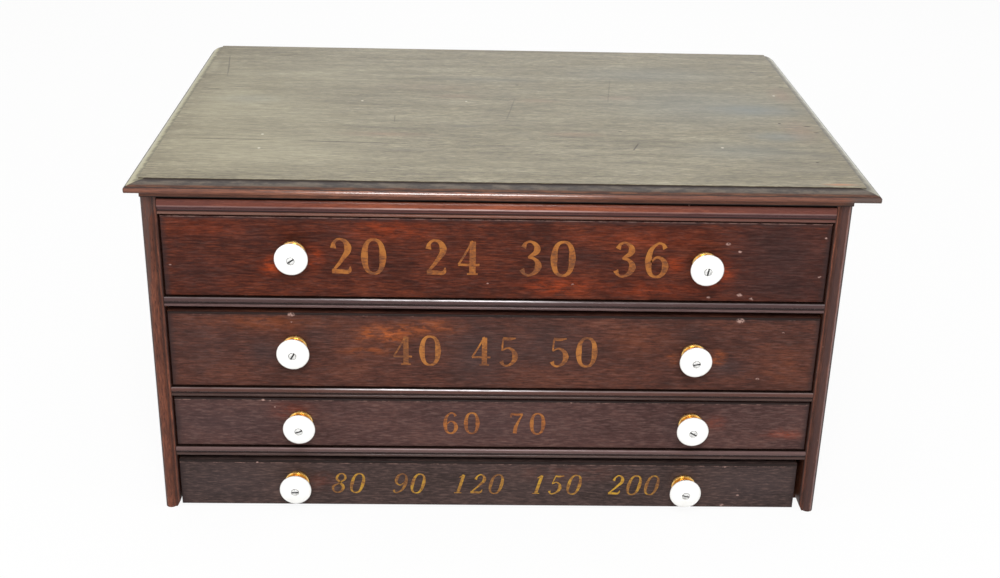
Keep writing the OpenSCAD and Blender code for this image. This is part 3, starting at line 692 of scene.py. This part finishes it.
def topBorder(colour, place, ragged, streaks, wear):  # step, slope and rounded nose, mitred at the corners
    atX, atY, atZ = place
    low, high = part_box("top_board")
    below = minus(topZ, atZ)
    uneven = minus(ragged, 0.5)
    edge = plus(below, times(uneven, 1.2 * mm))
    nearEnd = calc("MINIMUM", minus(atX, low.x), minus(high.x, atX))
    inFront = deeper(minus(nearEnd, minus(atY, low.y)), (-0.8, 0.8))
    front = mottle(ragged, 0.35, 0.65, wear["front"])
    front = tint(deeper(edge, wear["footFrom"]), front, mottle(streaks, 0.4, 0.6, wear["frontFoot"]))
    toRight = remap(atX, -0.1, 0.1)
    # the end slopes: painted reflection, a painted highlight line and the nose's painted shade
    ends = tint(toRight, *wear["ends"])
    pale = times(deeper(edge, wear["endLineFrom"]), remap(toRight, 0, 1, 0.3, 0.9))
    pale = times(pale, deeper(minus(atY, low.y), (15, 80), 0.25, 1))
    ends = tint(pale, ends, wear["endLine"])
    ends = tint(deeper(edge, wear["outlineFrom"]), ends, wear["outline"])
    colour = tint(deeper(edge, wear["slopeFrom"]), colour, tint(inFront, ends, front))
    wavy = plus(below, times(uneven, 1.6 * mm))
    nose = deeper(wavy, wear["noseFrom"])
    redwood = mottle(streaks, 0.35, 0.65, wear["nose"])
    # the nose stays lighter where the light falls, with painted shade outside that span
    rubbed = between(atX, *wear["rubbed"])
    redwood = tint(remap(rubbed, 0, 1, 0.55, 0), redwood, wear["dull"])
    redwood = tint(deeper(minus(atX, high.x), wear["greyFrom"], 0, 0.75), redwood, wear["grey"])
    colour = tint(times(nose, remap(inFront, 0, 1, 0.6, 1)), colour, redwood)
    groove = deeper(awayFrom(wavy, wear["grooveAt"] * mm), (0.1, 0.6), 0.85, 0)
    colour = tint(times(groove, inFront), colour, wear["groove"])
    quirk = times(deeper(edge, (0.1, 0.5)), deeper(edge, (1.0, 1.5), 1, 0))
    colour = tint(times(quirk, remap(inFront, 0, 1, 0.6, 0.9)), colour, wear["quirk"])
    # painted shadow along the underside, over the gap to the rail
    colour = tint(deeper(minus(atZ, low.z), (0.3, 0.9), 1, 0), colour, wear["under"])
    return colour, times(nose, deeper(below, wear["noseTo"], 1, 0))


def topFinish(name, look, wear):
    material, coords, shader = startMaterial(name)
    place = splitPlace(coords)
    wood = woodFigure(coords, look)
    streaks = wood["streaks"]
    colour = fineLines(coords, wood["colour"], look, (150, 800), 4, 0.65)
    colour, cuts = topMarks(coords, colour, streaks, look, wear)
    ragged = cloud(coords, (70, 150, 150), 5, 0.68, look["seed"])
    colour, nose = topBorder(colour, place, ragged, streaks, borderWear)
    x, y, wide, deep = look["worn"]
    worn = times(topMark(coords, x, y, wide, deep, 0.8), remap(streaks, 0.4, 0.55), 0.8)
    colour = tint(worn, colour, wear["bareSpot"])
    polished = times(nose, between(place[0], *look["polish"]))
    rough = minus(remap(streaks, 0.3, 0.7, 0.42, 0.58), times(polished, 0.3))
    setInputs(shader, {
        "Base Color": colour, "Roughness": rough, "Specular IOR Level": 0.22,
        "Coat Weight": polished, "Coat Roughness": 0.2,
    })
    height = plus(times(wood["fibres"], 0.5), times(ragged, 0.8))
    height = minus(height, times(cuts, 1.5))
    feedBump(shader, times(height, remap(polished, 0, 1, 1, 0.12)), wear["bump"])
    return material


dress(nodes["top_board"], topFinish("top_worn_varnish", topLook, topWear))
print("top board finished")


# unvarnished wood inside and behind

bareLooks = {
    "inner_bare": {
        "pieces": ("runner_*", "kicker_*", "drawer_?_left", "drawer_?_right", "drawer_?_slats"),
        "grain": "y", "seed": 51.0, "fibre": 0.3, "pore": 0.35,
        "dark": rgb(150, 112, 74), "middle": rgb(182, 143, 98), "light": rgb(205, 168, 120),
        "poreColour": rgb(120, 84, 54),
    },
    "cross_bare": {
        "pieces": ("drawer_?_back", "drawer_?_bottom", "drawer_stops"),
        "grain": "x", "seed": 57.0, "fibre": 0.3, "pore": 0.35,
        "dark": rgb(146, 108, 72), "middle": rgb(178, 139, 95), "light": rgb(200, 163, 116),
        "poreColour": rgb(116, 82, 52),
    },
    "back_bare": {
        "pieces": ("back_upper", "back_lower", "bottom_board"),
        "grain": "x", "seed": 61.0, "fibre": 0.4, "pore": 0.5,
        "dark": rgb(92, 66, 46), "middle": rgb(122, 90, 62), "light": rgb(148, 112, 80),
        "poreColour": rgb(66, 46, 34),
    },
}


def bareWood(name, look):
    material, coords, shader = startMaterial(name)
    wood = woodFigure(coords, look)
    stain = remap(cloud(coords, (11, 11, 11), 4, 0.6, look["seed"], 0.2), 0.5, 0.75, 0, 0.4)
    colour = tint(stain, wood["colour"], look["poreColour"])
    rough = remap(wood["streaks"], 0.3, 0.7, 0.62, 0.8)
    setInputs(shader, {"Base Color": colour, "Roughness": rough})
    feedBump(shader, minus(wood["fibres"], times(wood["pores"], 0.6)), 0.25)
    return material


for name, look in bareLooks.items():
    finish = bareWood(name, look)
    for node, part in nodes.items():
        if any(fnmatch(node, pattern) for pattern in look["pieces"]):
            dress(part, finish)
print("bare wood finished")


# small metal parts and porcelain

ironFigure = {
    "noise": ((900, 900, 900), 4, 0.6), "wornFrom": (0.45, 0.7), "roughness": (0.35, 0.75), "bump": 0.1,
}
metalLooks = {
    "old_iron": {**ironFigure, "seed": 2, "clean": rgb(168, 167, 164), "worn": rgb(104, 92, 82), "metallic": 0.85},
    "bolt_iron": {  # black where it is deeper than dirtFrom, in mm from the drawer face
        **ironFigure, "seed": 6, "clean": rgb(226, 226, 224), "worn": rgb(136, 132, 130), "metallic": 0.35,
        "dirt": rgb(34, 32, 32), "dirtFrom": (-18.1, -17.8),
    },
    "worn_brass": {
        "seed": 3, "clean": rgb(240, 206, 140), "worn": rgb(196, 148, 82), "metallic": 1.0,
        "noise": ((420, 420, 420), 5, 0.65), "wornFrom": (0.42, 0.72), "roughness": (0.16, 0.42), "bump": 0.04,
    },
}
glazeLook = {
    "seed": 9, "glaze": (rgb(244, 244, 242), rgb(238, 237, 233)), "speck": rgb(150, 140, 128), "bump": 0.1,
    "coat": 0.6, "coatRoughness": 0.06,
}


def metalFinish(name, look):
    material, coords, shader = startMaterial(name)
    worn = remap(cloud(coords, *look["noise"], look["seed"]), *look["wornFrom"])
    colour = tint(worn, look["clean"], look["worn"])
    if "dirt" in look:
        depth = minus(splitPlace(coords)[1], faceY)
        colour = tint(deeper(depth, look["dirtFrom"]), colour, look["dirt"])
    rough = remap(worn, 0, 1, *look["roughness"])
    setInputs(shader, {"Base Color": colour, "Roughness": rough, "Metallic": look["metallic"]})
    feedBump(shader, worn, look["bump"])
    return material


def porcelainFinish(name, look):
    material, coords, shader = startMaterial(name)
    cloudy = cloud(coords, (140, 140, 140), 3, 0.5, look["seed"])
    specks = remap(cloud(coords, (900, 900, 900), 2, 0.5, look["seed"] + 4), 0.74, 0.8)
    glaze = tint(cloudy, *look["glaze"])
    setInputs(shader, {
        "Base Color": tint(times(specks, 0.4), glaze, look["speck"]),
        "Roughness": remap(cloudy, 0.3, 0.7, 0.1, 0.2),
        "Coat Weight": look["coat"], "Coat Roughness": look["coatRoughness"],
    })
    feedBump(shader, cloudy, look["bump"])
    return material


metals = {name: metalFinish(name, look) for name, look in metalLooks.items()}
whiteGlaze = porcelainFinish("white_glaze", glazeLook)
for node in ("top_screws", "back_nails"):
    dress(nodes[node], metals["old_iron"])


# knobs: brass base, porcelain head, slotted bolt with a square nut

knobSizes = {  # radius and height over the drawer face, in mm
    "porcelain": [(7.4, 6.0), (7.5, 7.4), (8.1, 9.0), (9.4, 10.5), (11.1, 11.6), (12.4, 12.3), (13.0, 13.0),
                  (13.25, 13.9), (13.1, 14.6), (12.6, 15.3), (11.8, 15.9), (10.6, 16.45), (9.0, 17.05), (7.2, 17.6),
                  (5.6, 18.0), (4.3, 18.25), (3.5, 18.35), (3.3, 18.1), (3.3, 16.7)],
    "brass": [(9.9, 0.0), (10.3, 0.25), (10.5, 0.8), (10.45, 1.5), (10.1, 2.1), (9.5, 2.3), (8.9, 2.0), (8.5, 1.5),
              (8.1, 1.4), (7.8, 1.8), (7.7, 2.6), (7.7, 4.4), (7.9, 4.8), (8.3, 5.1), (8.4, 5.5), (8.2, 5.85),
              (7.7, 6.0)],
    "head": [(2.0, 16.7), (2.95, 16.75), (3.0, 17.6), (2.9, 18.0), (2.3, 18.35), (1.4, 18.48)],
    "shank": [(2.0, -17.2), (2.0, 16.75)],
    # degrees that the left and the right slot are turned
    "slotTurns": {"drawer_1": (35, 80), "drawer_2": (60, 10), "drawer_3": (20, -30), "drawer_4": (5, -12)},
    "slot": (7.0, 1.3, 0.9),  # length, width, depth
    "nut": (9.0, 3.0, -16.0),  # width, thickness and inner face
    "nutEdge": 0.5,
    "segments": {"knob": 56, "head": 32, "shank": 24},
    "smooth": {"turned": 40, "nut": 30},  # degrees under which an edge is smooth
}


def turnOnLathe(name, stations, segments):  # a turned piece standing on z = 0, in mm of radius and height
    radius, height = stations[0]
    bpy.ops.mesh.primitive_circle_add(
        vertices=segments, radius=radius * mm, fill_type="NGON", location=(0, 0, height * mm)
    )
    piece = bpy.context.object
    piece.name = piece.data.name = name
    bpy.ops.object.transform_apply()
    bpy.ops.object.mode_set(mode="EDIT")
    bpy.ops.mesh.select_all(action="SELECT")
    for nextRadius, nextHeight in stations[1:]:
        bpy.ops.mesh.extrude_region_move(TRANSFORM_OT_translate={"value": (0, 0, (nextHeight - height) * mm)})
        wider = nextRadius / radius
        bpy.ops.transform.resize(value=(wider, wider, 1), center_override=(0, 0, nextHeight * mm))
        radius, height = nextRadius, nextHeight
    bpy.ops.mesh.select_all(action="SELECT")
    bpy.ops.mesh.normals_make_consistent(inside=False)
    bpy.ops.object.mode_set(mode="OBJECT")
    bpy.ops.object.shade_smooth_by_angle(angle=math.radians(knobSizes["smooth"]["turned"]))
    return piece


def joinPieces(pieces, name):
    bpy.ops.object.select_all(action="DESELECT")
    for piece in pieces:
        piece.select_set(True)
    bpy.context.view_layer.objects.active = pieces[0]
    bpy.ops.object.join()
    joined = bpy.context.object
    joined.name = joined.data.name = name
    return joined


def makeBolt(sizes):
    head = turnOnLathe("boltHead", sizes["head"], sizes["segments"]["head"])
    length, width, depth = (v * mm for v in sizes["slot"])
    crown = (0, 0, sizes["head"][-1][1] * mm)
    bpy.ops.mesh.primitive_cube_add(size=1, location=crown, scale=(length, width, 2 * depth))
    cutter = bpy.context.object
    bpy.ops.object.transform_apply()
    bpy.context.view_layer.objects.active = head
    trim = head.modifiers.new("slot", "BOOLEAN")
    trim.object = cutter
    trim.operation = "DIFFERENCE"
    trim.solver = "EXACT"
    bpy.ops.object.modifier_apply(modifier="slot")
    bpy.data.objects.remove(cutter)
    shank = turnOnLathe("boltShank", sizes["shank"], sizes["segments"]["shank"])
    width, thick, face = (v * mm for v in sizes["nut"])
    bpy.ops.mesh.primitive_cube_add(size=1, location=(0, 0, face + thick / 2), scale=(width, width, thick))
    nut = bpy.context.object
    bpy.ops.object.transform_apply()
    bpy.ops.object.mode_set(mode="EDIT")
    bpy.ops.mesh.select_all(action="SELECT")
    bpy.ops.mesh.bevel(offset=sizes["nutEdge"] * mm, segments=2, affect="EDGES")
    bpy.ops.object.mode_set(mode="OBJECT")
    bpy.ops.object.shade_smooth_by_angle(angle=math.radians(sizes["smooth"]["nut"]))
    return joinPieces([head, shank, nut], "bolt")


def knobCentres(drawer):  # the two knob axes of a drawer, from its CAD knobs
    points = [v.co for v in nodes[drawer + "_knobs"].data.vertices]
    middle = sum(p.x for p in points) / len(points)
    centres = []
    for half in ([p for p in points if p.x < middle], [p for p in points if p.x >= middle]):
        xs, zs = [p.x for p in half], [p.z for p in half]
        centres.append(((min(xs) + max(xs)) / 2, (min(zs) + max(zs)) / 2))
    return centres


def setOnFaces(pattern, name, centres, turns):  # a copy at each knob place, joined into one piece
    copies = []
    for (x, z), turn in zip(centres, turns):
        copy = pattern.copy()
        copy.data = pattern.data.copy()
        bpy.context.scene.collection.objects.link(copy)
        forward = Matrix.Rotation(math.pi / 2, 4, "X") @ Matrix.Rotation(math.radians(turn), 4, "Z")
        copy.data.transform(Matrix.Translation((x, faceY, z)) @ forward)
        copies.append(copy)
    return joinPieces(copies, name)


around = knobSizes["segments"]["knob"]
porcelainPattern = turnOnLathe("porcelainPattern", knobSizes["porcelain"], around)
brassPattern = turnOnLathe("brassPattern", knobSizes["brass"], around)
patterns = {  # the piece, its finish, the end of the CAD node's name that it stands for, and its slot
    "porcelain_knobs": (porcelainPattern, whiteGlaze, "_knobs", "porcelain"),
    "brass_bases": (brassPattern, metals["worn_brass"], "_knob_bases", "brass"),
    "slotted_bolts": (makeBolt(knobSizes), metals["bolt_iron"], "_knob_bolts", "iron"),
}
for drawer in drawerNames:
    centres = knobCentres(drawer)
    for kind, (pattern, finish, node, slotName) in patterns.items():
        turns = knobSizes["slotTurns"][drawer] if kind == "slotted_bolts" else (0, 0)
        piece = setOnFaces(pattern, drawer + "_" + kind, centres, turns)
        dress(piece, finish)
        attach(piece, drawer)
        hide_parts(drawer + node)
for made in patterns.values():
    bpy.data.objects.remove(made[0])
print("knobs turned and set")


# worn gold numbers painted on the drawers

# what is written, its height, pitch of the figures, gap between numbers, middle and foot, in mm
numberRows = {
    "drawer_1": {
        "text": "20 24 30 36", "tall": 29, "pitch": 26, "gap": 23, "middle": -3, "foot": 218,
        "slant": 0.0, "weight": 1.15, "gold": rgb(148, 86, 36), "bright": rgb(160, 102, 44), "wear": 0.48,
    },
    "drawer_2": {
        "text": "40 45 50", "tall": 26, "pitch": 22.5, "gap": 19, "middle": -5, "foot": 137,
        "slant": 0.0, "weight": 1.1, "gold": rgb(142, 86, 40), "bright": rgb(168, 108, 50), "wear": 0.47,
    },
    "drawer_3": {
        "text": "60 70", "tall": 19.5, "pitch": 17.5, "gap": 20, "middle": -4, "foot": 73,
        "slant": 0.0, "weight": 1.05, "gold": rgb(150, 88, 42), "bright": rgb(160, 104, 48), "wear": 0.47,
    },
    "drawer_4": {
        "text": "80 90 120 150 200", "tall": 18.5, "pitch": 15.2, "gap": 21, "middle": -1, "foot": 14.3,
        "slant": 0.28, "weight": 0.95, "gold": rgb(146, 100, 48), "bright": rgb(184, 142, 44), "wear": 0.47,
    },
}
digitStrokes = {  # brush strokes on a figure one high: x, height, half the brush's width
    "0": [[(0.32, 1.0, 0.03), (0.07, 0.5, 0.085), (0.32, 0.0, 0.03), (0.57, 0.5, 0.085), "closed"]],
    "1": [[(0.16, 0.84, 0.015), (0.24, 0.9, 0.03), (0.33, 0.99, 0.02)],
          [(0.33, 0.98, 0.07), (0.33, 0.5, 0.075), (0.33, 0.03, 0.075)],
          [(0.16, 0.02, 0.022), (0.33, 0.02, 0.022), (0.5, 0.02, 0.022)]],
    "2": [[(0.12, 0.74, 0.07), (0.15, 0.91, 0.035), (0.32, 1.0, 0.03), (0.52, 0.76, 0.085), (0.38, 0.44, 0.05),
           (0.09, 0.05, 0.025)],
          [(0.08, 0.06, 0.06), (0.34, 0.05, 0.055), (0.54, 0.06, 0.05), (0.58, 0.2, 0.015)]],
    "3": [[(0.12, 0.82, 0.065), (0.2, 0.97, 0.03), (0.34, 0.99, 0.03), (0.5, 0.77, 0.08), (0.26, 0.53, 0.025)],
          [(0.26, 0.54, 0.025), (0.44, 0.48, 0.04), (0.54, 0.27, 0.085), (0.32, 0.01, 0.03), (0.17, 0.04, 0.03),
           (0.09, 0.18, 0.065)]],
    "4": [[(0.42, 1.0, 0.02), (0.24, 0.64, 0.025), (0.05, 0.3, 0.025)],
          [(0.04, 0.29, 0.03), (0.34, 0.29, 0.03), (0.62, 0.29, 0.03)],
          [(0.43, 0.98, 0.07), (0.43, 0.5, 0.075), (0.43, 0.03, 0.075)],
          [(0.28, 0.02, 0.022), (0.43, 0.02, 0.022), (0.58, 0.02, 0.022)]],
    "5": [[(0.14, 0.95, 0.045), (0.34, 0.94, 0.05), (0.54, 0.97, 0.02)],
          [(0.15, 0.96, 0.025), (0.13, 0.75, 0.025), (0.12, 0.53, 0.025)],
          [(0.12, 0.54, 0.02), (0.32, 0.62, 0.03), (0.53, 0.33, 0.085), (0.32, 0.01, 0.03), (0.17, 0.03, 0.03),
           (0.1, 0.16, 0.065)]],
    "6": [[(0.52, 0.84, 0.06), (0.44, 0.97, 0.03), (0.3, 0.98, 0.03), (0.08, 0.46, 0.085), (0.3, 0.0, 0.03),
           (0.55, 0.3, 0.08), (0.34, 0.58, 0.03), (0.14, 0.44, 0.025)]],
    "7": [[(0.07, 0.8, 0.015), (0.09, 0.94, 0.05), (0.32, 0.94, 0.055), (0.57, 0.96, 0.045)],
          [(0.56, 0.95, 0.025), (0.4, 0.62, 0.045), (0.28, 0.3, 0.075), (0.25, 0.02, 0.08)]],
    "8": [[(0.32, 1.0, 0.03), (0.12, 0.78, 0.06), (0.32, 0.54, 0.06), (0.55, 0.25, 0.075), (0.32, 0.0, 0.03),
           (0.08, 0.25, 0.06), (0.32, 0.52, 0.03), (0.51, 0.78, 0.055), "closed"]],
    "9": [[(0.12, 0.16, 0.06), (0.2, 0.03, 0.03), (0.34, 0.02, 0.03), (0.56, 0.54, 0.085), (0.34, 1.0, 0.03),
           (0.09, 0.7, 0.08), (0.3, 0.42, 0.03), (0.5, 0.56, 0.025)]],
}
paintStroke = {  # shares of a figure's height, and mm
    "figureWidth": 0.64, "layer": 0.004, "proud": 0.12, "steps": 8,
    "bare": rgb(86, 52, 36), "bump": 0.1,
}


def goldPaint(name, row, seed):
    material, coords, shader = startMaterial(name)
    rubbed = cloud(coords, (240, 240, 620), 6, 0.75, seed)
    patches = cloud(coords, (48, 48, 48), 4, 0.65, seed + 4)
    both = plus(times(rubbed, 0.55), times(patches, 0.45))
    worn = times(remap(both, row["wear"] - 0.04, row["wear"] + 0.12), 0.85)
    tone = tint(remap(patches, 0.3, 0.55, 1, 0), row["gold"], row["bright"])
    setInputs(shader, {
        "Base Color": tint(worn, tone, paintStroke["bare"]),
        "Roughness": remap(rubbed, 0.3, 0.7, 0.4, 0.6),
        "Metallic": 0.15, "Specular IOR Level": 0.25,
    })
    feedBump(shader, rubbed, paintStroke["bump"])
    return material


def flatCurve(name):
    bpy.ops.curve.primitive_bezier_curve_add(location=(0, 0, 0))
    drawn = bpy.context.object
    drawn.name = name
    drawn.data.splines.clear()
    drawn.data.dimensions = "2D"
    return drawn


def brushStrokes(name, row):  # every stroke of a row of numbers as one flat ribbon
    writing = flatCurve(name)
    line = writing.data
    line.fill_mode = "NONE"
    line.resolution_u = paintStroke["steps"]
    places, along = [], 0.0
    for figure in row["text"]:
        if figure != " ":
            places.append((along, figure))
        along += row["gap"] if figure == " " else row["pitch"]
    left = row["middle"] - (along - row["pitch"] + paintStroke["figureWidth"] * row["tall"]) / 2
    layer = 0  # each stroke lies a little over the last
    for place, figure in places:
        for stroke in digitStrokes[figure]:
            stations = [s for s in stroke if s != "closed"]
            spline = line.splines.new("BEZIER")
            spline.bezier_points.add(len(stations) - 1)
            spline.use_cyclic_u = "closed" in stroke
            for point, (x, up, brush) in zip(spline.bezier_points, stations):
                across = left + place + (x + row["slant"] * (up - 0.5)) * row["tall"]
                point.co = (across * mm, (row["foot"] + up * row["tall"]) * mm, layer * paintStroke["layer"] * mm)
                point.radius = brush * row["tall"] * row["weight"]
                point.handle_left_type = point.handle_right_type = "AUTO"
            layer += 1
    return writing


def paintNumbers(drawer, row, seed):
    brush = flatCurve("brush")  # a straight line one mm each way, swept along the strokes
    edge = brush.data.splines.new("POLY")
    edge.points.add(1)
    edge.points[0].co = (-mm, 0, 0, 1)
    edge.points[1].co = (mm, 0, 0, 1)
    writing = brushStrokes(drawer + "_numbers", row)
    writing.data.bevel_mode = "OBJECT"
    writing.data.bevel_object = brush
    bpy.ops.object.convert(target="MESH")
    numbers = bpy.context.object
    bpy.data.objects.remove(brush)
    upright = Matrix.Rotation(math.pi / 2, 4, "X")
    numbers.data.transform(Matrix.Translation((0, faceY - paintStroke["proud"] * mm, 0)) @ upright)
    dress(numbers, goldPaint(drawer + "_gold", row, seed))
    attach(numbers, drawer)


for count, (drawer, row) in enumerate(numberRows.items()):
    paintNumbers(drawer, row, seed=71 + 5 * count)
print("numbers painted")
